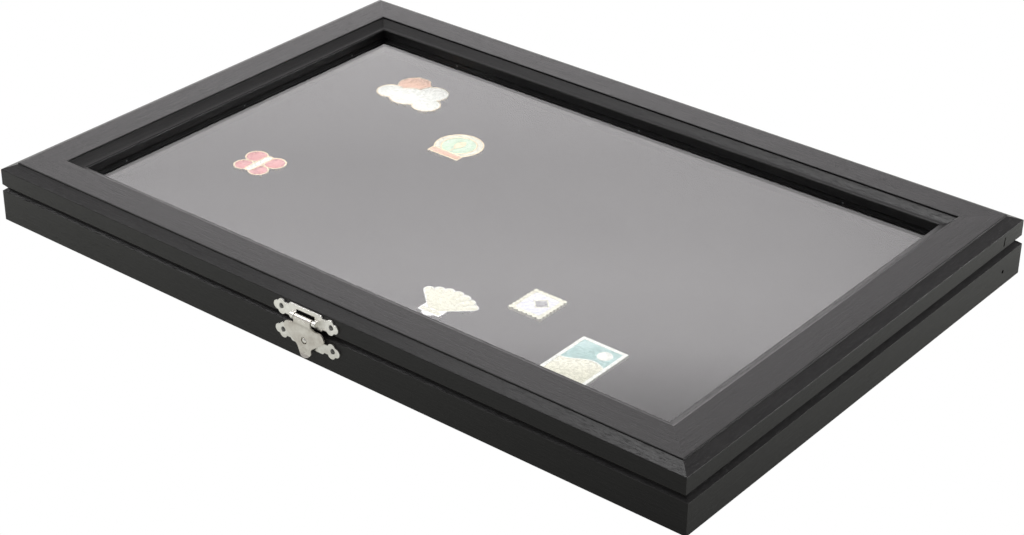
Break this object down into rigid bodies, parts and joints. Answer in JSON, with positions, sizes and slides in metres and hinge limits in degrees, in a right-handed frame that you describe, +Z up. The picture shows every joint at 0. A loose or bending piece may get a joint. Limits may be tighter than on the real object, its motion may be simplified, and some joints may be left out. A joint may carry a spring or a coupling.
{
  "type": "pin display case",
  "caption": "Flat hinged wooden display case with a glazed mitred lid, a felt pad that holds pins, and a front hasp latch.",
  "frame": {"origin": "middle of the flat underside of the base", "axes": "+X along the long side, -Y towards the latch, +Z up through the glass"},
  "size_m": [0.3818, 0.2648, 0.0296],
  "materials": {
    "black_wood": "satin black stain and lacquer over open grain",
    "hardboard": "pressed fibre, smooth face out",
    "felt": "short black pile",
    "foam": "fine closed foam",
    "glass": "clear float glass",
    "nickel": "tumbled nickel plate",
    "steel": "bright wire",
    "gilt": "polished plate",
    "pin_silver": "polished plate",
    "enamel_white": "smooth fired enamel",
    "enamel_cream": "smooth fired enamel",
    "enamel_peach": "smooth fired enamel",
    "enamel_rose": "smooth fired enamel",
    "enamel_green": "smooth fired enamel",
    "enamel_teal": "smooth fired enamel",
    "enamel_lavender": "smooth fired enamel",
    "enamel_grey": "smooth fired enamel"
  },
  "bodies": {
    "base": {"base_front_rail": "black_wood", "base_right_rail": "black_wood", "base_back_rail": "black_wood", "base_left_rail": "black_wood", "back_panel": "hardboard", "panel_brads": "steel", "base_corner_brads": "steel", "foam_pad": "foam", "felt_cover": "felt", "catch_plate": "nickel", "catch_stud": "nickel", "catch_nails": "nickel", "hinge_left_base_leaf": "nickel", "hinge_right_base_leaf": "nickel", "hinge_left_pin": "steel", "hinge_right_pin": "steel", "base_leaf_screws": "nickel", "pin_cloud": "gilt", "pin_tulip": "gilt", "pin_butterfly": "gilt", "pin_shell": "pin_silver", "pin_stamp": "pin_silver", "pin_hills": "pin_silver"},
    "lid": {"lid_front_rail": "black_wood", "lid_right_rail": "black_wood", "lid_back_rail": "black_wood", "lid_left_rail": "black_wood", "glass_pane": "glass", "glass_strip_front": "black_wood", "glass_strip_right": "black_wood", "glass_strip_back": "black_wood", "glass_strip_left": "black_wood", "glass_strip_brads": "steel", "lid_corner_brads": "steel", "strike_plate": "nickel", "strike_nails": "nickel", "hinge_left_lid_leaf": "nickel", "hinge_right_lid_leaf": "nickel", "lid_leaf_screws": "nickel"},
    "hasp": {"hasp": "nickel"}
  },
  "joints": [
    {"name": "lid_hinge", "type": "hinge", "parent": "base", "child": "lid", "pos_m": [0, 0.13095, 0.0165], "axis": [-1, 0, 0], "range_deg": [0, 180]},
    {"name": "hasp_hinge", "type": "hinge", "parent": "lid", "child": "hasp", "pos_m": [0.0003, -0.1309, 0.0214], "axis": [-1, 0, 0], "range_deg": [0, 135]}
  ]
}
